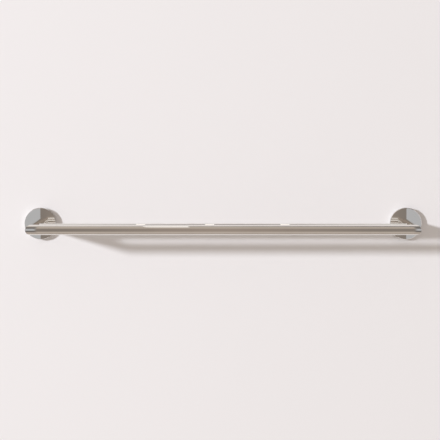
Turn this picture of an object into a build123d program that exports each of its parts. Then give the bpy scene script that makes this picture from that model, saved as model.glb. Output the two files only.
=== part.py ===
"""Double towel rail: a mitred front frame and a coped rear rail on two flanges with a hidden wall fixing.

The origin lies on the wall, midway between the posts. X runs along the rails, Y into the wall and Z up.
All sizes are in millimetres.
"""

import os

from build123d import *

# Layout
POST_SPACING = 600.0  # between the axes of the two posts
FRONT_REACH = 110.0  # from the wall to the front rail's axis
REAR_REACH = 58.0  # from the wall to the rear rail's axis

# Tubes
FRAME_TUBE_D = 16.0  # front rail and posts
FRAME_TUBE_WALL = 1.2
REAR_TUBE_D = 10.0
REAR_TUBE_WALL = 1.0
BRAZE_GAP = 0.1  # left for the filler between brazed faces that are curved

# Flange, a turned cup with a domed face that is open towards the wall
FLANGE_D = 52.0
FLANGE_DEPTH = 8.0  # at the edge of its face
FLANGE_FACE = 2.4
FLANGE_RIM = 3.0
FLANGE_EDGE = 0.6  # chamfer around its face
FLANGE_DOME = 0.75  # how far its face rises towards the post
SOCKET_DEPTH = 0.8  # how far the post's end lies below the edge of the flange's face
SOCKET_GAP = 0.05

# Screw that pulls the flange onto the post, with its washer and the insert that it is screwed into
SCREW_D = 6.0
SCREW_LENGTH = 14.0
SCREW_HEAD_D = 10.0
SCREW_HEAD_HEIGHT = 3.2
SCREW_KEY = 4.0  # across the flats of the hexagon socket
SCREW_KEY_DEPTH = 2.0
SCREW_TIP_CHAMFER = 0.6
SCREW_HOLE_GAP = 0.2
THREAD_GAP = 0.05
WASHER_D = 10.6
WASHER_THICKNESS = 0.9
WASHER_SLIT = 0.8
INSERT_LENGTH = 16.0

# Mounting plate, which the flange slides over
PLATE_RIM_GAP = 0.4
PLATE_FRONT_GAP = 0.6
PLATE_BORE_GAP = 1.6  # around the screw's head and washer
PLATE_UNDERCUT = 2.0  # how much narrower the plate's edge is at the wall, all round
WALL_HOLE_SPACING = 28.0
WALL_HOLE_D = 4.6
WALL_HOLE_HEAD_D = 8.4

# Grub screw, through the underside of the flange's rim onto the plate's sloping edge
GRUB_D = 3.0
GRUB_LENGTH = 4.0
GRUB_POINT = 1.2
GRUB_KEY = 1.5
GRUB_KEY_DEPTH = 1.6
GRUB_SEAT_GAP = 0.05

# Worked out from the sizes above
frame_tube_r = FRAME_TUBE_D / 2
frame_bore_r = frame_tube_r - FRAME_TUBE_WALL
rear_tube_r = REAR_TUBE_D / 2
rim_r = FLANGE_D / 2
recess_r = rim_r - FLANGE_RIM
face_r = rim_r - FLANGE_EDGE
dome_r = (face_r**2 + FLANGE_DOME**2) / (2 * FLANGE_DOME)
dome_top = FLANGE_DEPTH + FLANGE_DOME  # from the wall to where the dome would reach the post's axis
recess_depth = FLANGE_DEPTH - FLANGE_FACE
post_seat = FLANGE_DEPTH - SOCKET_DEPTH  # from the wall to the end of the post
screw_seat = recess_depth - WASHER_THICKNESS  # from the wall to the underside of the screw's head
plate_r = recess_r - PLATE_RIM_GAP
plate_thickness = recess_depth - PLATE_FRONT_GAP
plate_bore_r = max(SCREW_HEAD_D, WASHER_D) / 2 + PLATE_BORE_GAP
plate_foot_r = plate_r - PLATE_UNDERCUT
grub_height = plate_thickness / 2  # from the wall to the grub screw's axis
grub_tip_r = GRUB_D / 2 - GRUB_POINT
grub_touch = (grub_height + grub_tip_r) / plate_thickness  # where on the edge, as a share of its width
grub_tip_at = plate_foot_r + PLATE_UNDERCUT * grub_touch + GRUB_SEAT_GAP  # from the post's axis down
SIDES = {"left": -1, "right": 1}


def wall_plane(sign: int) -> Plane:
    """The wall behind one post: local x along the rails, local y up and local z out of the wall."""
    return Plane(origin=(sign * POST_SPACING / 2, 0, 0), x_dir=(1, 0, 0), z_dir=(0, -1, 0))


def turning_plane(sign: int) -> Plane:
    """A lathe section at one post: local x is the radius and local y the distance out of the wall."""
    return Plane(origin=(sign * POST_SPACING / 2, 0, 0), x_dir=(1, 0, 0), z_dir=(0, 0, -1))


def post_axis(sign: int) -> Axis:
    """The axis of one post, pointing out of the wall."""
    return Axis(wall_plane(sign).origin, wall_plane(sign).z_dir)


def mitre_plane(sign: int) -> Plane:
    """The mitre between one post and the front rail, facing the rail."""
    return Plane(origin=(sign * POST_SPACING / 2, -FRONT_REACH, 0), z_dir=(-sign, -1, 0))


def rail_plane(reach: float) -> Plane:
    """A section across a rail at the middle of the part, at one distance from the wall."""
    return Plane(origin=(0, -reach, 0), x_dir=(0, 1, 0), z_dir=(1, 0, 0))


def save(piece: BuildPart, label: str) -> None:
    """Label a finished piece and write it under its own name."""
    piece.part.label = label
    export_step(piece.part, f"parts/{label}.step")


def front_rail() -> BuildPart:
    """The front tube, cut at 45 degrees at both ends."""
    with BuildPart() as rail:
        with BuildSketch(rail_plane(FRONT_REACH)):
            Circle(frame_tube_r)
            Circle(frame_bore_r, mode=Mode.SUBTRACT)
        extrude(amount=POST_SPACING / 2 + frame_tube_r, both=True)
        for sign in SIDES.values():
            split(bisect_by=mitre_plane(sign), keep=Keep.TOP)
    return rail


def rear_rail() -> BuildPart:
    """The rear tube, with both ends coped to fit round the posts."""
    with BuildPart() as rail:
        with BuildSketch(rail_plane(REAR_REACH)):
            Circle(rear_tube_r)
            Circle(rear_tube_r - REAR_TUBE_WALL, mode=Mode.SUBTRACT)
        extrude(amount=POST_SPACING / 2, both=True)
        for sign in SIDES.values():
            with BuildSketch(wall_plane(sign)):
                Circle(frame_tube_r + BRAZE_GAP)
            extrude(amount=FRONT_REACH, mode=Mode.SUBTRACT)
    return rail


def post(sign: int) -> BuildPart:
    """A post, square where it stands in the flange and mitred where it meets the front rail."""
    with BuildPart() as tube:
        with BuildSketch(wall_plane(sign).offset(post_seat)):
            Circle(frame_tube_r)
            Circle(frame_bore_r, mode=Mode.SUBTRACT)
        extrude(amount=FRONT_REACH + frame_tube_r - post_seat)
        split(bisect_by=mitre_plane(sign), keep=Keep.BOTTOM)
    return tube


def post_insert(sign: int) -> BuildPart:
    """A tapped plug in the wall end of a post, open right through so that the frame can drain."""
    with BuildPart() as plug:
        with BuildSketch(wall_plane(sign).offset(post_seat)):
            Circle(frame_bore_r - BRAZE_GAP)
            Circle(SCREW_D / 2 + THREAD_GAP, mode=Mode.SUBTRACT)
        extrude(amount=INSERT_LENGTH)
    return plug


def flange(sign: int) -> BuildPart:
    """A domed cover with a socket for the post, a recess for the plate and a hole for the grub screw."""
    screw_hole_r = SCREW_D / 2 + SCREW_HOLE_GAP
    socket_r = frame_tube_r + SOCKET_GAP
    with BuildPart() as cover:
        with BuildSketch(turning_plane(sign)) as section:
            with BuildLine():
                Polyline(
                    (recess_r, 0),
                    (rim_r, 0),
                    (rim_r, dome_top),
                    (socket_r, dome_top),
                    (socket_r, post_seat),
                    (screw_hole_r, post_seat),
                    (screw_hole_r, recess_depth),
                    (recess_r, recess_depth),
                    close=True,
                )
            make_face()
            front_corner = section.vertices().group_by(Axis.X)[-1].sort_by(Axis.Y)[-1]
            chamfer(front_corner, length=FLANGE_EDGE + FLANGE_DOME)
        revolve(axis=post_axis(sign))
        with Locations((sign * POST_SPACING / 2, dome_r - dome_top, 0)):
            Sphere(dome_r, mode=Mode.INTERSECT)
        with BuildSketch(grub_plane(sign, rim_r)):
            Circle(GRUB_D / 2 + THREAD_GAP)
        extrude(amount=rim_r, mode=Mode.SUBTRACT)
    return cover


def flange_screw(sign: int) -> BuildPart:
    """A cap screw whose head faces the wall, from the flange's recess into the post's insert."""
    wall = wall_plane(sign)
    with BuildPart() as screw:
        with BuildSketch(wall.offset(screw_seat - SCREW_HEAD_HEIGHT)):
            Circle(SCREW_HEAD_D / 2)
        extrude(amount=SCREW_HEAD_HEIGHT)
        with BuildSketch(wall.offset(screw_seat)):
            Circle(SCREW_D / 2)
        extrude(amount=SCREW_LENGTH)
        chamfer(screw.edges().group_by(post_axis(sign))[-1], length=SCREW_TIP_CHAMFER)
        with BuildSketch(wall.offset(screw_seat - SCREW_HEAD_HEIGHT)):
            RegularPolygon(SCREW_KEY / 2, 6, major_radius=False)
        extrude(amount=SCREW_KEY_DEPTH, mode=Mode.SUBTRACT)
    return screw


def lock_washer(sign: int) -> BuildPart:
    """A split washer between the flange and the head of its screw."""
    with BuildPart() as washer:
        with BuildSketch(wall_plane(sign).offset(screw_seat)):
            Circle(WASHER_D / 2)
            Circle(SCREW_D / 2 + SCREW_HOLE_GAP, mode=Mode.SUBTRACT)
            with Locations((0, WASHER_D / 2)):
                Rectangle(WASHER_SLIT, WASHER_D, mode=Mode.SUBTRACT)
        extrude(amount=WASHER_THICKNESS)
    return washer


def mounting_plate(sign: int) -> BuildPart:
    """A round plate for two wall screws, with an edge so sloped that the grub screw draws the flange in."""
    with BuildPart() as plate:
        with BuildSketch(turning_plane(sign)):
            with BuildLine():
                Polyline(
                    (plate_bore_r, 0),
                    (plate_foot_r, 0),
                    (plate_r, plate_thickness),
                    (plate_bore_r, plate_thickness),
                    close=True,
                )
            make_face()
        revolve(axis=post_axis(sign))
        with Locations(wall_plane(sign).offset(plate_thickness)):
            with GridLocations(0, WALL_HOLE_SPACING, 1, 2):
                CounterSinkHole(WALL_HOLE_D / 2, WALL_HOLE_HEAD_D / 2)
    return plate


def grub_plane(sign: int, drop: float) -> Plane:
    """A plane across the grub screw's axis, at one distance below the post's axis, facing up."""
    return Plane(origin=(sign * POST_SPACING / 2, -grub_height, -drop), x_dir=(1, 0, 0), z_dir=(0, 0, 1))


def grub_screw(sign: int) -> BuildPart:
    """A cone-point set screw whose tip bears on the plate's sloping edge."""
    outer_end = grub_plane(sign, grub_tip_at + GRUB_LENGTH)
    with BuildPart() as grub:
        with BuildSketch(outer_end):
            Circle(GRUB_D / 2)
        extrude(amount=GRUB_LENGTH)
        chamfer(grub.edges().group_by(Axis.Z)[-1], length=GRUB_POINT)
        with BuildSketch(outer_end):
            RegularPolygon(GRUB_KEY / 2, 6, major_radius=False)
        extrude(amount=GRUB_KEY_DEPTH, mode=Mode.SUBTRACT)
    return grub


os.makedirs("parts", exist_ok=True)
save(front_rail(), "front_rail")
save(rear_rail(), "rear_rail")
for side, sign in SIDES.items():
    save(post(sign), f"{side}_post")
    save(post_insert(sign), f"{side}_post_insert")
    save(flange(sign), f"{side}_flange")
    save(flange_screw(sign), f"{side}_flange_screw")
    save(lock_washer(sign), f"{side}_lock_washer")
    save(mounting_plate(sign), f"{side}_mounting_plate")
    save(grub_screw(sign), f"{side}_grub_screw")
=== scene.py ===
"""Looks of a double towel rail: its finishes, brazed joints and threads, a plain studio and the camera.

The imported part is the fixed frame. Lengths are in metres: X runs along the rails, Y into the wall, Z up.
"""

import logging
import math
from collections.abc import Mapping, Sequence
from dataclasses import dataclass
from enum import Enum

import bmesh
import bpy
import numpy as np
from mathutils import Euler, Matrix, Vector


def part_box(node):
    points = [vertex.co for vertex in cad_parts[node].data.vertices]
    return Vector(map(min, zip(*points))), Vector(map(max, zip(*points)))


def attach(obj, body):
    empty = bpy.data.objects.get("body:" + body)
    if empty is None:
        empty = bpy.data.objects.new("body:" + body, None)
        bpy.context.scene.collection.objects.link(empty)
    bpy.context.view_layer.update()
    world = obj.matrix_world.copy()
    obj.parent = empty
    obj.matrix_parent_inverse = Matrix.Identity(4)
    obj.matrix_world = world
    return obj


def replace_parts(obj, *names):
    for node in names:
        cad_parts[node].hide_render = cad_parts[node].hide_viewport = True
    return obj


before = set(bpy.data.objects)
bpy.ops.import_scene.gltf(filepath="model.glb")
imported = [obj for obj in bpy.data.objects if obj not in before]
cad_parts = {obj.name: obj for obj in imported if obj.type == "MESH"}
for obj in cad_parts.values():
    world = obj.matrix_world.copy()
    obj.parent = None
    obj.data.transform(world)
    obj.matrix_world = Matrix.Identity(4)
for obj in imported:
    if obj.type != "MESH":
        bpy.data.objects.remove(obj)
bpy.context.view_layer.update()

BODY = "root"
WELD_DISTANCE = 1e-6
CREASE_ANGLE = math.radians(35)
LOG = logging.getLogger("double_towel_rail")

Colour = tuple[float, float, float]


class Side(Enum):
    """The two ends of the rail, each with the sign of its place along X."""

    LEFT = -1
    RIGHT = 1

    def node(self, piece: str) -> str:
        """The frame's name for one of this end's pieces."""
        return f"{self.name.lower()}_{piece}"


class Ray(Enum):
    """The kinds of ray that a stage object can be shown to, by the object's own setting."""

    CAMERA = "visible_camera"
    DIFFUSE = "visible_diffuse"
    GLOSSY = "visible_glossy"
    TRANSMISSION = "visible_transmission"
    SHADOW = "visible_shadow"


class MixSocket(Enum):
    """The places of a Mix node's sockets when it mixes colours."""

    FACTOR = 0
    FIRST = 6
    SECOND = 7
    RESULT = 2


class Signal:
    """A socket that takes part in Python expressions, where each operator adds one Math node."""

    def __init__(self, graph: "Graph", socket: bpy.types.NodeSocket) -> None:
        """Wrap one output socket of a graph."""
        self.graph = graph
        self.socket = socket

    def also(self, output: str) -> "Signal":
        """Another output of the same node."""
        return Signal(self.graph, self.socket.node.outputs[output])

    def maths(self, operation: str, *operands: "Signal | float") -> "Signal":
        """One Math node, with numbers or signals as its operands."""
        return self.graph.node("ShaderNodeMath", {"operation": operation}, dict(enumerate(operands)))

    def __add__(self, other: "Signal | float") -> "Signal":
        """This plus the other."""
        return self.maths("ADD", self, other)

    def __radd__(self, other: float) -> "Signal":
        """A number plus this."""
        return self.maths("ADD", other, self)

    def __sub__(self, other: "Signal | float") -> "Signal":
        """This minus the other."""
        return self.maths("SUBTRACT", self, other)

    def __rsub__(self, other: float) -> "Signal":
        """A number minus this."""
        return self.maths("SUBTRACT", other, self)

    def __mul__(self, other: "Signal | float") -> "Signal":
        """This times the other."""
        return self.maths("MULTIPLY", self, other)

    def __rmul__(self, other: float) -> "Signal":
        """A number times this."""
        return self.maths("MULTIPLY", other, self)

    def __truediv__(self, other: "Signal | float") -> "Signal":
        """This divided by the other."""
        return self.maths("DIVIDE", self, other)

    def __rtruediv__(self, other: float) -> "Signal":
        """A number divided by this."""
        return self.maths("DIVIDE", other, self)

    def __lt__(self, other: "Signal | float") -> "Signal":
        """1 where this is less than the other, and 0 elsewhere."""
        return self.maths("LESS_THAN", self, other)

    def __abs__(self) -> "Signal":
        """This without its sign."""
        return self.maths("ABSOLUTE", self)

    def at_least(self, other: "Signal | float") -> "Signal":
        """The larger of this and the other."""
        return self.maths("MAXIMUM", self, other)

    def root(self) -> "Signal":
        """The square root of this."""
        return self.maths("SQRT", self)

    def sine(self) -> "Signal":
        """The sine of this, in radians."""
        return self.maths("SINE", self)

    def step(self, low: float, high: float) -> "Signal":
        """0 below low, 1 above high and a smooth step between them."""
        ends = {"Value": self, "From Min": low, "From Max": high}
        return self.graph.node("ShaderNodeMapRange", {"interpolation_type": "SMOOTHSTEP"}, ends)


class Graph:
    """A node tree that is written node by node."""

    def __init__(self, tree: bpy.types.NodeTree) -> None:
        """Empty the tree."""
        self.tree = tree
        tree.nodes.clear()

    def make(
        self,
        kind: str,
        settings: Mapping[str, object] | None = None,
        inputs: Mapping[str | int, object] | None = None,
    ) -> bpy.types.Node:
        """Make a node, set it up, then fill its sockets with values or links.

        Args:
            kind: The node's type.
            settings: Attributes of the node, which are set first.
            inputs: Values, or signals to link, by the socket's name or place.

        Returns:
            The node.
        """
        made = self.tree.nodes.new(kind)
        for name, setting in (settings or {}).items():
            setattr(made, name, setting)
        for key, value in (inputs or {}).items():
            if isinstance(value, Signal):
                self.tree.links.new(value.socket, made.inputs[key])
            else:
                made.inputs[key].default_value = value
        return made

    def node(
        self,
        kind: str,
        settings: Mapping[str, object] | None = None,
        inputs: Mapping[str | int, object] | None = None,
        output: str | int = 0,
    ) -> Signal:
        """Make a node and give back one of its outputs, by the socket's name or place."""
        return Signal(self, self.make(kind, settings, inputs).outputs[output])

    def place(self) -> Signal:
        """The object's own coordinates, which are the part's."""
        return self.node("ShaderNodeTexCoord", output="Object")

    def axes(self) -> tuple[Signal, Signal, Signal]:
        """The three numbers of the object's own coordinates."""
        x = self.node("ShaderNodeSeparateXYZ", inputs={"Vector": self.place()}, output="X")
        return x, x.also("Y"), x.also("Z")

    def noise(self, grain: float, detail: float = 2.0, stretch: Sequence[float] = (1, 1, 1)) -> Signal:
        """Cloudy noise from 0 to 1.

        Args:
            grain: The size of a cloud.
            detail: How many finer layers it has.
            stretch: How much longer a cloud is along each axis.

        Returns:
            The noise.
        """
        scale = tuple(1.0 / (grain * length) for length in stretch)
        vector = self.node("ShaderNodeMapping", inputs={"Vector": self.place(), "Scale": scale})
        return self.node("ShaderNodeTexNoise", inputs={"Vector": vector, "Scale": 1.0, "Detail": detail})

    def blend(self, share: Signal, first: "Signal | Colour", second: "Signal | Colour") -> Signal:
        """A colour that goes from the first to the second.

        Args:
            share: 0 for the first colour and 1 for the second.
            first: A colour, or a signal that carries one.
            second: A colour, or a signal that carries one.

        Returns:
            The mixed colour.
        """
        colours = [c if isinstance(c, Signal) else (*c, 1.0) for c in (first, second)]
        inputs = {
            MixSocket.FACTOR.value: share,
            MixSocket.FIRST.value: colours[0],
            MixSocket.SECOND.value: colours[1],
        }
        return self.node("ShaderNodeMix", {"data_type": "RGBA"}, inputs, MixSocket.RESULT.value)

    def bump(self, height: Signal, depth: float) -> Signal:
        """A normal that is tilted by a height from 0 to 1, which stands for a real depth."""
        return self.node("ShaderNodeBump", inputs={"Height": height, "Strength": 1.0, "Distance": depth})

    def metal(self, colour: Signal, roughness: Signal, normal: Signal) -> Signal:
        """A bare metal surface."""
        inputs = {"Base Color": colour, "Roughness": roughness, "Normal": normal, "Metallic": 1.0}
        return self.node("ShaderNodeBsdfPrincipled", inputs=inputs)


def scaled(colour: Colour, factor: float) -> Colour:
    """A colour made darker or lighter."""
    return tuple(channel * factor for channel in colour)


@dataclass(frozen=True)
class Finish:
    """How a thing looks: a name, its main colour and a shader."""

    name: str
    colour: Colour

    def material(self) -> bpy.types.Material:
        """Make a material from the finish's own nodes.

        Returns:
            The material.
        """
        made = bpy.data.materials.new(f"{self.name}_finish")
        made.use_nodes = True
        graph = Graph(made.node_tree)
        graph.make("ShaderNodeOutputMaterial", inputs={"Surface": self.shader(graph)})
        return made

    def shader(self, graph: Graph) -> Signal:
        """The finish's own nodes, which each kind of finish adds."""
        raise NotImplementedError


@dataclass(frozen=True)
class SurfaceFinish(Finish):
    """The finish of a solid surface, which light falls on."""

    roughness: float


@dataclass(frozen=True)
class PolishedChrome(SurfaceFinish):
    """Mirror plating with a faint dried film in patches and the slight waves of a buffed tube."""

    film_size: float = 0.045
    film_detail: float = 4.0
    film_from: tuple[float, float] = (0.45, 0.8)
    film_roughness: float = 0.035
    film_tone: float = 0.965
    buff_length: float = 0.03
    buff_width: float = 0.0016
    buff_depth: float = 4e-7

    def shader(self, graph: Graph) -> Signal:
        """Roughness and tone follow the film, and a very low bump follows the buffing.

        Args:
            graph: The material's node tree.

        Returns:
            The shader.
        """
        film = graph.noise(self.film_size, self.film_detail).step(*self.film_from)
        stretch = (self.buff_length / self.buff_width, 1.0, 1.0)
        buffing = graph.noise(self.buff_width, stretch=stretch)
        colour = graph.blend(film, self.colour, scaled(self.colour, self.film_tone))
        roughness = self.roughness + self.film_roughness * film
        return graph.metal(colour, roughness, graph.bump(buffing, self.buff_depth))


@dataclass(frozen=True)
class TurnedMetal(SurfaceFinish):
    """Metal from a lathe: fine rings about the post's axis, and a cloudy tone.

    The roughness is multiplied by the smooth share plus the cloud share times the cloud.
    """

    post_at: float
    ring_pitch: float
    ring_depth: float
    cloud_size: float
    cloud_tone: float
    cloud_detail: float = 3.0
    smooth_share: float = 0.75
    cloud_share: float = 0.5

    def shader(self, graph: Graph) -> Signal:
        """Rings follow the distance from the nearer post's axis, and run on along that axis.

        Args:
            graph: The material's node tree.

        Returns:
            The shader.
        """
        x, y, z = graph.axes()
        across = abs(x) - self.post_at
        radius = (across * across + z * z).root()
        turn = 2 * math.pi / self.ring_pitch
        rings = 0.5 + 0.5 * ((radius + y) * turn).sine()
        cloud = graph.noise(self.cloud_size, self.cloud_detail)
        colour = graph.blend(cloud, scaled(self.colour, self.cloud_tone), self.colour)
        roughness = self.roughness * (self.smooth_share + self.cloud_share * cloud)
        return graph.metal(colour, roughness, graph.bump(rings, self.ring_depth))


@dataclass(frozen=True)
class HardenedSteel(SurfaceFinish):
    """Steel of small fasteners: a mottled surface film over a fine grain.

    The roughness is multiplied by the bare share plus the film share times the film.
    """

    film_colour: Colour
    film_size: float
    grain_size: float
    grain_depth: float
    film_detail: float = 4.0
    film_from: tuple[float, float] = (0.35, 0.7)
    bare_share: float = 0.8
    film_share: float = 0.4

    def shader(self, graph: Graph) -> Signal:
        """The film changes colour and roughness in patches, over a fine bumpy grain.

        Args:
            graph: The material's node tree.

        Returns:
            The shader.
        """
        film = graph.noise(self.film_size, self.film_detail).step(*self.film_from)
        grain = graph.noise(self.grain_size)
        colour = graph.blend(film, self.colour, self.film_colour)
        roughness = self.roughness * (self.bare_share + self.film_share * film)
        return graph.metal(colour, roughness, graph.bump(grain, self.grain_depth))


@dataclass(frozen=True)
class PaleWall(SurfaceFinish):
    """Plain pale plaster that is seen from the room alone, open where it is hidden behind the flanges."""

    post_at: float
    opening_r: float
    gloss: float = 0.2
    cloud_size: float = 0.35
    cloud_tone: float = 0.985

    def shader(self, graph: Graph) -> Signal:
        """Matt paint, mixed with nothing at all from behind and inside the openings.

        Args:
            graph: The material's node tree.

        Returns:
            The shader.
        """
        cloud = graph.noise(self.cloud_size)
        colour = graph.blend(cloud, scaled(self.colour, self.cloud_tone), self.colour)
        paint = {"Base Color": colour, "Roughness": self.roughness, "Specular IOR Level": self.gloss}
        x, _, z = graph.axes()
        across = abs(x) - self.post_at
        opening = (across * across + z * z).root() < self.opening_r
        behind = graph.node("ShaderNodeNewGeometry", output="Backfacing")
        inputs = {
            0: opening.at_least(behind),
            1: graph.node("ShaderNodeBsdfPrincipled", inputs=paint),
            2: graph.node("ShaderNodeBsdfTransparent"),
        }
        return graph.node("ShaderNodeMixShader", inputs=inputs)


@dataclass(frozen=True)
class SurroundGlow(Finish):
    """The tones of the studio around the camera, which the polished metal mirrors.

    The main colour is that of two light panels, one at each side, together a little off centre. Heights are
    slopes: the rise over the distance from the wall. Each pair of numbers is where a change starts and ends.
    """

    middle_colour: Colour
    flank_colour: Colour
    frame_colour: Colour
    upper_colour: Colour
    zenith_colour: Colour
    dim_zenith_colour: Colour
    lower_colour: Colour
    panel_shift: float = 0.018
    panel_from: tuple[float, float] = (0.805, 0.822)
    panel_low: tuple[float, float] = (-0.27, -0.23)
    panel_high: tuple[float, float] = (0.48, 0.54)
    upper_from: tuple[float, float] = (0.2, 1.0)
    zenith_from: tuple[float, float] = (1.4, 3.2)
    dim_from: tuple[float, float] = (-0.9, 1.1)
    lower_from: tuple[float, float] = (-1.6, -0.1)
    floor_from: tuple[float, float] = (-1.6, -0.9)
    nearest: float = 0.01

    def shader(self, graph: Graph) -> Signal:
        """Bands of tone by height, dark at eye level and dimmer overhead to the right, and framed panels.

        Args:
            graph: The material's node tree.

        Returns:
            The shader.
        """
        x, y, z = graph.axes()
        aside = abs(x - self.panel_shift)
        slope = z / (0.0 - y).at_least(self.nearest)
        at_side = aside.step(*self.panel_from)
        tone = graph.blend(aside.step(0.0, self.panel_from[0]), self.middle_colour, self.flank_colour)
        tone = graph.blend(slope.step(*self.upper_from), tone, self.upper_colour)
        tone = graph.blend(slope.step(*self.lower_from), self.lower_colour, tone)
        tone = graph.blend(at_side, tone, self.frame_colour)
        zenith = graph.blend(x.step(*self.dim_from), self.zenith_colour, self.dim_zenith_colour)
        tone = graph.blend(slope.step(*self.zenith_from), tone, zenith)
        tone = graph.blend(slope.step(*self.floor_from), self.lower_colour, tone)
        in_panel = at_side * slope.step(*self.panel_low) * (1.0 - slope.step(*self.panel_high))
        return graph.node("ShaderNodeEmission", inputs={"Color": graph.blend(in_panel, tone, self.colour)})


@dataclass(frozen=True)
class CardGlow(Finish):
    """The glow of a flat card that polished metal mirrors, with one colour midway and one at the ends."""

    end_colour: Colour
    strength: float
    middle_at: float
    half_length: float

    def shader(self, graph: Graph) -> Signal:
        """Light whose colour follows the distance along X from the card's middle.

        Args:
            graph: The material's node tree.

        Returns:
            The shader.
        """
        x, _, _ = graph.axes()
        share = (abs(x - self.middle_at) / self.half_length).step(0.0, 1.0)
        colour = graph.blend(share, self.colour, self.end_colour)
        return graph.node("ShaderNodeEmission", inputs={"Color": colour, "Strength": self.strength})


def lay_surface(
    name: str, points: np.ndarray, rows_close: bool = False, columns_close: bool = False
) -> bpy.types.Object:
    """Make a smooth mesh object from a grid of points, with one quad for each cell of the grid.

    Args:
        name: The object's name.
        points: Rows by columns by three coordinates.
        rows_close: True if the last row joins the first.
        columns_close: True if the last column joins the first.

    Returns:
        The new object, linked to the scene, with its place in its mesh.
    """
    rows, columns = points.shape[:2]
    index = np.arange(rows * columns).reshape(rows, columns)
    if rows_close:
        index = np.concatenate([index, index[:1]], axis=0)
    if columns_close:
        index = np.concatenate([index, index[:, :1]], axis=1)
    corners = (index[:-1, :-1], index[1:, :-1], index[1:, 1:], index[:-1, 1:])
    quads = np.stack(corners, axis=-1).reshape(-1, 4)
    mesh = bpy.data.meshes.new(name)
    mesh.from_pydata(points.reshape(-1, 3).tolist(), [], quads.tolist())
    mesh.polygons.foreach_set("use_smooth", np.ones(len(quads), dtype=bool))
    mesh.update()
    made = bpy.data.objects.new(name, mesh)
    bpy.context.scene.collection.objects.link(made)
    return made


def weld(made: bpy.types.Object) -> None:
    """Merge points that lie on each other, so that a pole is one point, and crease the sharp edges.

    Args:
        made: The object whose mesh is changed.
    """
    merged = bmesh.new()
    merged.from_mesh(made.data)
    bmesh.ops.remove_doubles(merged, verts=merged.verts, dist=WELD_DISTANCE)
    merged.to_mesh(made.data)
    merged.free()
    made.data.set_sharp_from_angle(angle=CREASE_ANGLE)


def show_only_to(thing: bpy.types.Object, *rays: Ray) -> None:
    """Show an object to these kinds of ray and hide it from the others."""
    for ray in Ray:
        setattr(thing, ray.value, ray in rays)


def dress(names: Sequence[str], material: bpy.types.Material) -> None:
    """Give nodes of the frame a material, in the slots that they already have.

    Args:
        names: The nodes.
        material: Their finish.
    """
    for name in names:
        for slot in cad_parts[name].material_slots:
            slot.material = material


@dataclass(frozen=True)
class Tube:
    """A round tube of the frame, read from its node."""

    middle: Vector
    radius: float

    @classmethod
    def of(cls, node: str) -> "Tube":
        """The tube in a node, whose height is its diameter."""
        low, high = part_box(node)
        return cls((low + high) / 2, (high.z - low.z) / 2)


@dataclass
class RailFrame:
    """The two rails and the two posts, with the fillets of filler where the rear rail meets the posts."""

    chrome: bpy.types.Material
    slot: str
    fillet_leg: float = 0.0011
    fillet_root: float = 0.0004
    fillet_turns: int = 96
    fillet_steps: int = 10

    def build(self) -> list[str]:
        """Dress the tubes and add the fillets.

        Returns:
            The names of the pieces.
        """
        names = ["front_rail", "rear_rail", *(side.node("post") for side in Side)]
        dress(names, self.chrome)
        for side in Side:
            points = self.fillet(side)
            fillet = lay_surface(side.node("braze_fillet"), points, rows_close=True, columns_close=True)
            fillet.data.materials.append(self.chrome)
            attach(fillet, BODY)
            names.append(fillet.name)
        return names

    def fillet(self, side: Side) -> np.ndarray:
        """A ring of filler round one end of the rear rail.

        At each angle round the rail, the two tubes meet at a corner point. The ring's face is a curve from
        one leg's length along the rail to one leg's length along the post, tangent to both, and its back is
        a point a little inside the corner.

        Args:
            side: The end that it is at.

        Returns:
            The ring's points, angle by step.
        """
        rail = Tube.of("rear_rail")
        post = Tube.of(side.node("post"))
        angle = np.linspace(0.0, 2 * np.pi, self.fillet_turns, endpoint=False)[:, None]
        ring = np.concatenate([np.zeros_like(angle), np.cos(angle), side.value * np.sin(angle)], axis=1)
        inset = np.sqrt(post.radius**2 - (rail.radius * ring[:, 2]) ** 2)
        corner = rail.radius * ring + [0.0, rail.middle.y, 0.0]
        corner[:, 0] = post.middle.x - side.value * inset
        post_normal = (corner - [post.middle.x, 0.0, 0.0]) * [1.0, 0.0, 1.0] / post.radius
        along_post = ring - np.sum(ring * post_normal, axis=1, keepdims=True) * post_normal
        along_post /= np.linalg.norm(along_post, axis=1, keepdims=True)
        along_rail = np.array([[-float(side.value), 0.0, 0.0]])
        step = np.linspace(0.0, 1.0, self.fillet_steps)[None, :, None]
        face = (1 - step) ** 2 * along_rail[:, None] + step**2 * along_post[:, None]
        points = corner[:, None] + self.fillet_leg * face
        inward = along_rail + along_post
        inward /= np.linalg.norm(inward, axis=1, keepdims=True)
        back = corner - self.fillet_root * inward
        return np.concatenate([points, back[:, None]], axis=1)


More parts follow.
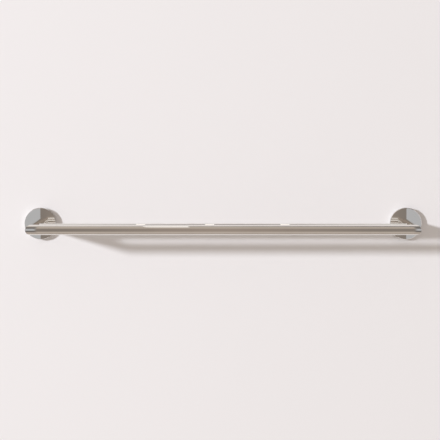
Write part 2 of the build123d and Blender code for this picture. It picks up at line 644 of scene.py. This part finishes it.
@dataclass(frozen=True)
class SocketScrew:
    """A screw with a six-sided socket and a cut thread, which takes the place of a plain one.

    The axis points from the driven end to the tip, and the socket has a flat side across it. Lengths along
    the axis start at the driven end. The shares are those of a pitch, at the thread's crest and root.
    """

    piece: str
    axis: tuple[float, float, float]
    across: tuple[float, float, float]
    shank_r: float
    shank_length: float
    tip_bevel: float
    key_width: float
    key_depth: float
    pitch: float
    thread_depth: float
    neck: float = 0.0
    head_r: float = 0.0
    head_length: float = 0.0
    edge_bevel: float = 0.0002
    turn_steps: int = 48
    pitch_steps: int = 12
    crest_share: float = 0.125
    root_share: float = 0.25

    def build(self, side: Side, material: bpy.types.Material, slot: str) -> str:
        """Lay the screw where the plain one is, and put it in that one's place.

        Args:
            side: The end that it is at.
            material: Its finish.
            slot: Not used.

        Returns:
            The name of the piece.
        """
        made = lay_surface(side.node(f"threaded_{self.piece}"), self.points(side), columns_close=True)
        weld(made)
        made.data.materials.append(material)
        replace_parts(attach(made, BODY), side.node(self.piece))
        return made.name

    def points(self, side: Side) -> np.ndarray:
        """The screw's skin: its distances along the axis and its radii, set about the plain screw's axis.

        Args:
            side: The end that it is at.

        Returns:
            The skin's points, row by angle.
        """
        low, high = (np.array(corner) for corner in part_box(side.node(self.piece)))
        axis = np.array(self.axis)
        across = np.array(self.across)
        start = (low + high - axis * np.abs(high - low)) / 2
        angle = np.linspace(0.0, 2 * np.pi, self.turn_steps, endpoint=False)
        along, radius = self.skin(angle)
        outward = np.cos(angle)[:, None] * across + np.sin(angle)[:, None] * np.cross(across, axis)
        return start + along[..., None] * axis + radius[..., None] * outward

    def skin(self, angle: np.ndarray) -> tuple[np.ndarray, np.ndarray]:
        """The screw's outline at each angle, from the middle of the socket's floor to the middle of the tip.

        A socket wall's radius is half the key's width over the cosine of the angle from its flat's middle.
        The thread's groove is a wave, flat at the crest and the root, of the distance in pitches plus the
        angle in turns. It starts beyond the neck, and bevels limit the radius at both ends.

        Args:
            angle: The angles about the axis.

        Returns:
            The distance along the axis and the radius, row by angle.
        """
        sixth = np.pi / 3
        socket = self.key_width / 2 / np.cos((angle + sixth / 2) % sixth - sixth / 2)
        end = self.head_length + self.shank_length
        rows = round(self.shank_length / self.pitch * self.pitch_steps) + 1
        shank = np.linspace(self.head_length, end, rows)[:, None]
        wave = np.abs(2 * ((shank / self.pitch + angle / (2 * np.pi)) % 1) - 1)
        groove = np.clip((wave - self.crest_share) / (1 - self.crest_share - self.root_share), 0, 1)
        cut = np.clip((shank - self.head_length - self.neck) / self.pitch, 0, 1) * groove
        bevel = np.minimum(np.minimum(shank - self.edge_bevel, end - shank - self.tip_bevel), 0)
        threaded = np.minimum(self.shank_r + bevel, self.shank_r - self.thread_depth * cut)
        outline = [(self.key_depth, 0.0), (self.key_depth, socket), (0.0, socket)]
        if self.head_length:
            outline += [(0.0, self.head_r - self.edge_bevel), (self.edge_bevel, self.head_r)]
            outline += [(self.head_length, self.head_r)]
        outline += [*zip(shank, threaded), (end, 0.0)]
        rings = [np.broadcast_arrays(along, radius, angle)[:2] for along, radius in outline]
        along, radius = np.stack(rings, axis=1)
        return along, radius


@dataclass
class WallFixing:
    """One end's flange with what it hides: the plate, the screws, the washer and the post's insert."""

    side: Side
    finishes: Mapping[str, bpy.types.Material]
    screw_finish: bpy.types.Material
    screw_slot: str
    flange_screw: SocketScrew = SocketScrew(
        "flange_screw", axis=(0.0, -1.0, 0.0), across=(0.0, 0.0, 1.0), shank_r=0.003, shank_length=0.014,
        tip_bevel=0.0006, key_width=0.004, key_depth=0.002, pitch=0.001, thread_depth=0.0006,
        neck=0.0025, head_r=0.005, head_length=0.0032,
    )
    grub_screw: SocketScrew = SocketScrew(
        "grub_screw", axis=(0.0, 0.0, 1.0), across=(0.0, 1.0, 0.0), shank_r=0.0015, shank_length=0.004,
        tip_bevel=0.0012, key_width=0.0015, key_depth=0.0016, pitch=0.0005, thread_depth=0.0003,
    )

    def build(self) -> list[str]:
        """Dress this end's pieces, each by its own name, and put in the threaded screws.

        Returns:
            The names of the pieces.
        """
        names = []
        for piece, material in self.finishes.items():
            names.append(self.side.node(piece))
            dress(names[-1:], material)
        for screw in (self.flange_screw, self.grub_screw):
            names.append(screw.build(self.side, self.screw_finish, self.screw_slot))
        return names


@dataclass(frozen=True)
class MirrorCard:
    """A level card that only the polished metal sees: bright for a highlight, or dark for a dark line."""

    name: str
    middle: tuple[float, float, float]
    half_size: tuple[float, float]
    colour: Colour
    strength: float = 1.0
    end_colour: Colour | None = None

    def build(self) -> bpy.types.Object:
        """Lay a flat grid of four points about the middle, and make it glow.

        Returns:
            The card.
        """
        width, depth = self.half_size
        x, y = np.meshgrid([-width, width], [-depth, depth], indexing="ij")
        made = lay_surface(self.name, np.array(self.middle) + np.stack([x, y, np.zeros_like(x)], axis=-1))
        glow = CardGlow(
            self.name, self.colour, end_colour=self.end_colour or self.colour,
            strength=self.strength, middle_at=self.middle[0], half_length=width,
        )
        made.data.materials.append(glow.material())
        show_only_to(made, Ray.GLOSSY, Ray.TRANSMISSION)
        return made


def studio_cards() -> tuple[MirrorCard, ...]:
    """The cards about the part.

    The ceiling card gives the front rail its highlight and the shade card its dark line. The rear cards hang
    just over the rear rail: a dark strip that fades towards its ends, and three short lamps under it.

    Returns:
        The cards, those for the front rail first.
    """
    lamp_colour = (1.0, 0.97, 0.94)
    rear_y = -0.0595
    rear_z = 0.035
    rear_half_depth = 0.0075
    rear_lamps_x = (-0.1338, -0.0219, 0.1003)
    lamp_half_length = 0.0074
    lamp_gap = 0.001
    rear_lamps = [
        MirrorCard(
            f"rear_lamp_card_{number}", middle=(x, rear_y, rear_z - lamp_gap),
            half_size=(lamp_half_length, rear_half_depth), colour=lamp_colour, strength=1.4,
        )
        for number, x in enumerate(rear_lamps_x, start=1)
    ]
    return (
        MirrorCard(
            "ceiling_card", middle=(-0.142, -0.455, 1.2), half_size=(0.057, 0.275),
            colour=lamp_colour, strength=1.2,
        ),
        MirrorCard(
            "shade_card", middle=(0.0, -0.08, -0.48), half_size=(0.7, 0.08), colour=(0.30, 0.255, 0.22),
        ),
        MirrorCard(
            "rear_shade_card", middle=(0.010, rear_y, rear_z), half_size=(0.285, rear_half_depth),
            colour=(0.16, 0.13, 0.12), end_colour=(0.647, 0.638, 0.61),
        ),
        *rear_lamps,
    )


@dataclass
class Studio:
    """A pale wall behind the part, a soft lamp, and a surround that only the polished metal sees."""

    post_at: float
    wall_behind: float = 0.0003
    wall_half_size: tuple[float, float] = (2.0, 2.0)
    wall_colour: Colour = (0.85, 0.805, 0.80)
    wall_roughness: float = 0.7
    opening_share: float = 0.9
    surround_r: float = 3.6
    surround_steps: int = 64
    surround_glow: SurroundGlow = SurroundGlow(
        "studio_surround", (0.51, 0.515, 0.535), middle_colour=(0.36, 0.30, 0.26),
        flank_colour=(0.255, 0.222, 0.198), frame_colour=(0.195, 0.178, 0.17),
        upper_colour=(0.53, 0.46, 0.405), zenith_colour=(0.53, 0.475, 0.43),
        dim_zenith_colour=(0.22, 0.20, 0.18), lower_colour=(0.56, 0.485, 0.43),
    )
    cards: tuple[MirrorCard, ...] = studio_cards()
    lamp_from: tuple[float, float, float] = (-1.325, -1.0, 0.366)
    lamp_distance: float = 14.0
    lamp_size: float = 1.12
    lamp_power: float = 1800.0
    lamp_colour: Colour = (0.87, 0.93, 1.0)
    fill_colour: Colour = (0.54, 0.505, 0.465)
    backdrop_colour: Colour = (0.80, 0.765, 0.76)

    def build(self) -> None:
        """Make the wall, the surround, the cards, the lamp and the world."""
        self.wall()
        self.surround()
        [card.build() for card in self.cards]
        self.lamp()
        self.world()

    def wall(self) -> bpy.types.Object:
        """A flat sheet just behind the part, facing the room: a grid of its four corners.

        Returns:
            The wall.
        """
        width, height = self.wall_half_size
        x, z = np.meshgrid([-width, width], [-height, height], indexing="ij")
        made = lay_surface("pale_wall", np.stack([x, np.full_like(x, self.wall_behind), z], axis=-1))
        flange_low, flange_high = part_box(Side.LEFT.node("flange"))
        opening_r = self.opening_share * (flange_high.z - flange_low.z) / 2
        finish = PaleWall("pale_wall", self.wall_colour, self.wall_roughness, self.post_at, opening_r)
        made.data.materials.append(finish.material())
        return made

    def surround(self) -> bpy.types.Object:
        """Half a dome on the room's side: a sphere's points by bearing and height.

        Returns:
            The dome.
        """
        quarter = np.pi / 2
        turns = np.linspace(-quarter, quarter, self.surround_steps)
        bearing, height = np.meshgrid(turns, turns, indexing="ij")
        level = self.surround_r * np.cos(height)
        points = [level * np.sin(bearing), -level * np.cos(bearing), self.surround_r * np.sin(height)]
        made = lay_surface("studio_surround", np.stack(points, axis=-1))
        made.data.materials.append(self.surround_glow.material())
        show_only_to(made, Ray.GLOSSY, Ray.TRANSMISSION)
        return made

    def lamp(self) -> None:
        """A small soft lamp, up to the left, that throws the part's shadow on the wall."""
        towards = Vector(self.lamp_from).normalized()
        data = bpy.data.lights.new("key_lamp", "AREA")
        data.shape = "DISK"
        data.size = self.lamp_size
        data.energy = self.lamp_power
        data.color = self.lamp_colour
        made = bpy.data.objects.new("key_lamp", data)
        made.location = towards * self.lamp_distance
        made.rotation_euler = towards.to_track_quat("Z", "Y").to_euler()
        made.visible_camera = False
        bpy.context.scene.collection.objects.link(made)

    def world(self) -> None:
        """A plain pale backdrop where it is seen or mirrored, and an even fill of light elsewhere."""
        world = bpy.data.worlds.new("studio_air")
        world.use_nodes = True
        bpy.context.scene.world = world
        graph = Graph(world.node_tree)
        camera = graph.node("ShaderNodeLightPath", output="Is Camera Ray")
        seen = camera.at_least(camera.also("Is Glossy Ray")).at_least(camera.also("Is Transmission Ray"))
        colour = graph.blend(seen, self.fill_colour, self.backdrop_colour)
        air = graph.node("ShaderNodeBackground", inputs={"Color": colour})
        graph.make("ShaderNodeOutputWorld", inputs={"Surface": air})


@dataclass
class PhotoCamera:
    """A long lens that looks a little down on the part, level and square to the wall."""

    target: Vector
    frame_px: float = 440.0
    focal_px: float = 1250.0
    target_px: tuple[float, float] = (223.09, 223.75)
    spacing_px: float = 365.8
    pitch_down: float = math.radians(5.20)

    def build(self, post_spacing: float) -> None:
        """Place the camera so that the posts come out as far apart as they should.

        Args:
            post_spacing: The real distance between the posts.
        """
        distance = self.focal_px * post_spacing / self.spacing_px
        metres_per_px = distance / self.focal_px
        ahead = Vector((0.0, math.cos(self.pitch_down), -math.sin(self.pitch_down)))
        up = Vector((0.0, math.sin(self.pitch_down), math.cos(self.pitch_down)))
        right = Vector((1.0, 0.0, 0.0))
        offset_right = (self.target_px[0] - self.frame_px / 2) * metres_per_px
        offset_down = (self.target_px[1] - self.frame_px / 2) * metres_per_px
        data = bpy.data.cameras.new("photo_camera")
        data.lens = self.focal_px / self.frame_px * data.sensor_width
        made = bpy.data.objects.new("photo_camera", data)
        made.location = self.target - distance * ahead - offset_right * right + offset_down * up
        made.rotation_euler = Euler((math.pi / 2 - self.pitch_down, 0.0, 0.0))
        bpy.context.scene.collection.objects.link(made)
        bpy.context.scene.camera = made


def make_metals(post_at: float) -> dict[str, bpy.types.Material]:
    """Make the part's metals.

    Args:
        post_at: How far each post's axis is from the middle, for the turned metals' rings.

    Returns:
        The materials, by the record's slots.
    """
    metals = (
        PolishedChrome("polished_chrome", (0.84, 0.82, 0.785), 0.012),
        HardenedSteel(
            "screw_steel", (0.52, 0.52, 0.53), 0.30, film_colour=(0.44, 0.44, 0.46),
            film_size=0.004, grain_size=0.0003, grain_depth=4e-6,
        ),
        HardenedSteel(
            "spring_steel", (0.30, 0.30, 0.31), 0.38, film_colour=(0.20, 0.19, 0.19),
            film_size=0.003, grain_size=0.0003, grain_depth=6e-6,
        ),
        TurnedMetal(
            "bare_brass", (0.72, 0.56, 0.28), 0.22, post_at=post_at, ring_pitch=0.00025,
            ring_depth=4e-6, cloud_size=0.006, cloud_tone=0.88,
        ),
        TurnedMetal(
            "plate_steel", (0.60, 0.60, 0.59), 0.32, post_at=post_at, ring_pitch=0.0004,
            ring_depth=5e-6, cloud_size=0.012, cloud_tone=0.90,
        ),
    )
    return {metal.name: metal.material() for metal in metals}


def main() -> None:
    """Dress the part, then build the studio and the camera."""
    logging.basicConfig(level=logging.INFO)
    bpy.context.scene.view_settings.view_transform = "Standard"
    left_post = Tube.of(Side.LEFT.node("post"))
    right_post = Tube.of(Side.RIGHT.node("post"))
    post_at = right_post.middle.x
    metals = make_metals(post_at)
    finishes = {
        "flange": metals["polished_chrome"],
        "post_insert": metals["bare_brass"],
        "lock_washer": metals["spring_steel"],
        "mounting_plate": metals["plate_steel"],
    }
    rails = RailFrame(metals["polished_chrome"], "polished_chrome")
    fixings = [WallFixing(side, finishes, metals["screw_steel"], "screw_steel") for side in Side]
    for assembly in (rails, *fixings):
        for name in assembly.build():
            LOG.info("%s: %s", type(assembly).__name__, name)
    Studio(post_at).build()
    flange_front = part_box(Side.LEFT.node("flange"))[0].y
    PhotoCamera(Vector((0.0, flange_front, 0.0))).build(right_post.middle.x - left_post.middle.x)


if __name__ == "__main__":
    main()
